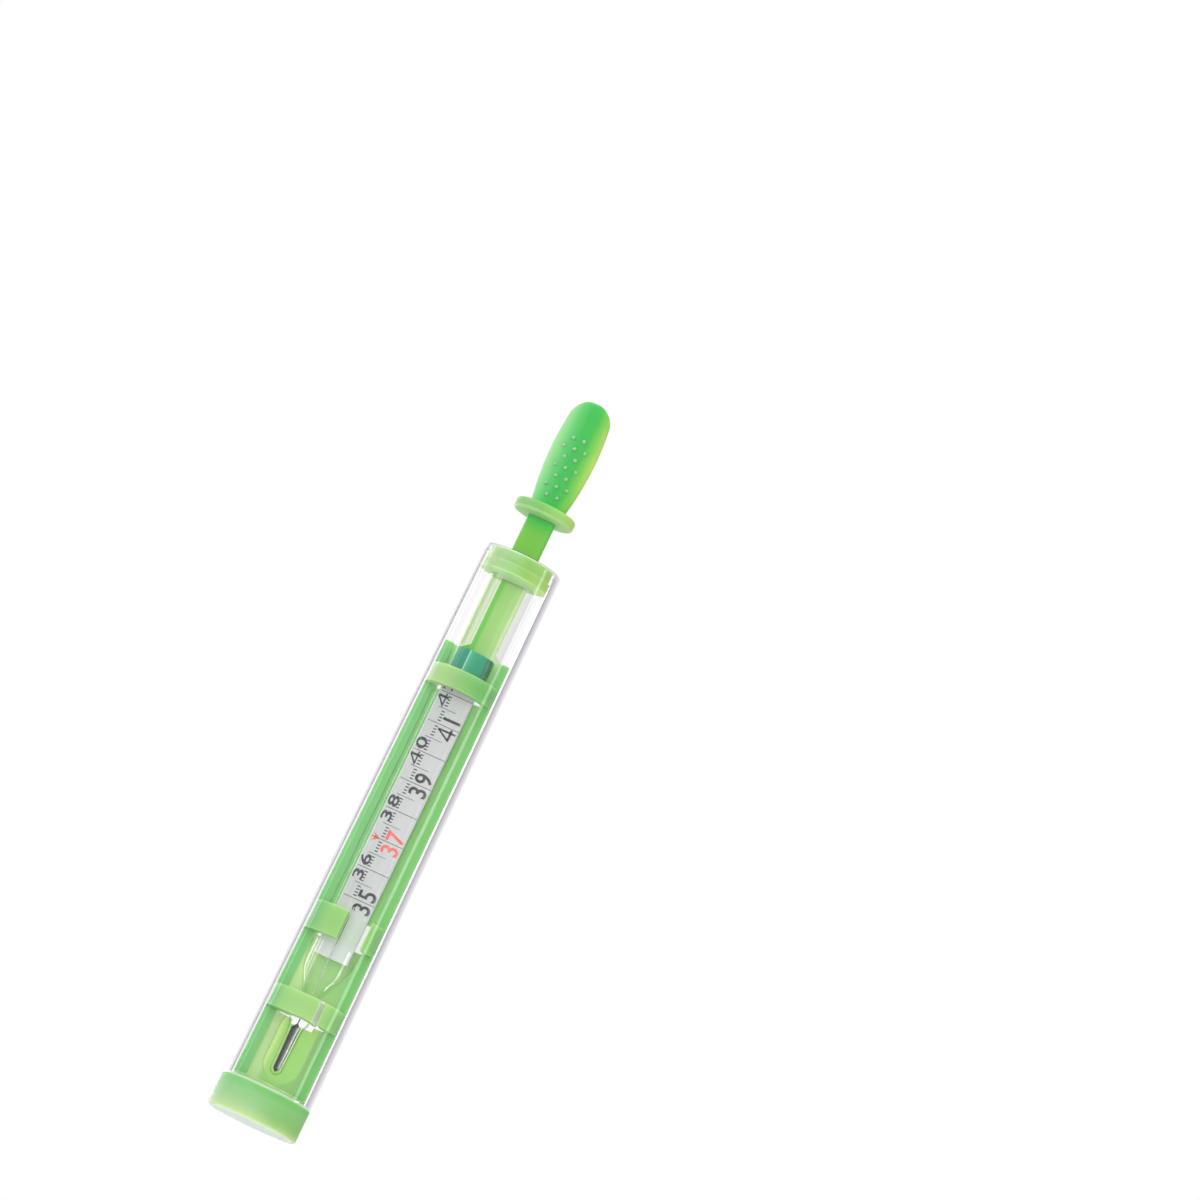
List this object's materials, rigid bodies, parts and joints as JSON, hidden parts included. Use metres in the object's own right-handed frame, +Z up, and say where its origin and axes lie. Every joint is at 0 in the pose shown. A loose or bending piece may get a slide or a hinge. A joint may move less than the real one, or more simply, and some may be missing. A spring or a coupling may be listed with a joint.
{
  "type": "clinical thermometer in a shake-down case",
  "caption": "Liquid-in-glass clinical thermometer in a green carriage, inside a clear tube with a green cap, flat stem, collar and dotted grip.",
  "frame": {"origin": "centre of the cap's flat underside", "axes": "+Z up along the case towards the grip, scale facing -Y"},
  "size_m": [0.02, 0.02, 0.169],
  "materials": {
    "clear_plastic": "clear, see-through, polished",
    "green_plastic": "translucent fresh green, smooth moulded",
    "glass": "clear drawn glass",
    "white_plate": "opal white with printed scale",
    "teal_plastic": "smooth teal",
    "liquid_metal": "bright liquid metal"
  },
  "bodies": {
    "holder": {"carriage": "green_plastic", "head_plug": "green_plastic", "grip": "green_plastic", "glass_sheath": "glass", "scale_plate": "white_plate", "plate_holder": "teal_plastic", "capillary": "glass", "bulb_liquid": "liquid_metal"},
    "case": {"case_tube": "clear_plastic"},
    "cap": {"bottom_cap": "green_plastic"},
    "thread": {"liquid_thread": "liquid_metal"}
  },
  "joints": [
    {"name": "tube_lift", "type": "slide", "parent": "holder", "child": "case", "axis": [0, 0, 1], "range_m": [0, 0.17]},
    {"name": "cap_pull", "type": "slide", "parent": "holder", "child": "cap", "axis": [0, 0, 1], "range_m": [-0.03, 0]},
    {"name": "thread_rise", "type": "slide", "parent": "holder", "child": "thread", "axis": [0, 0, 1], "range_m": [0, 0.0495]}
  ]
}
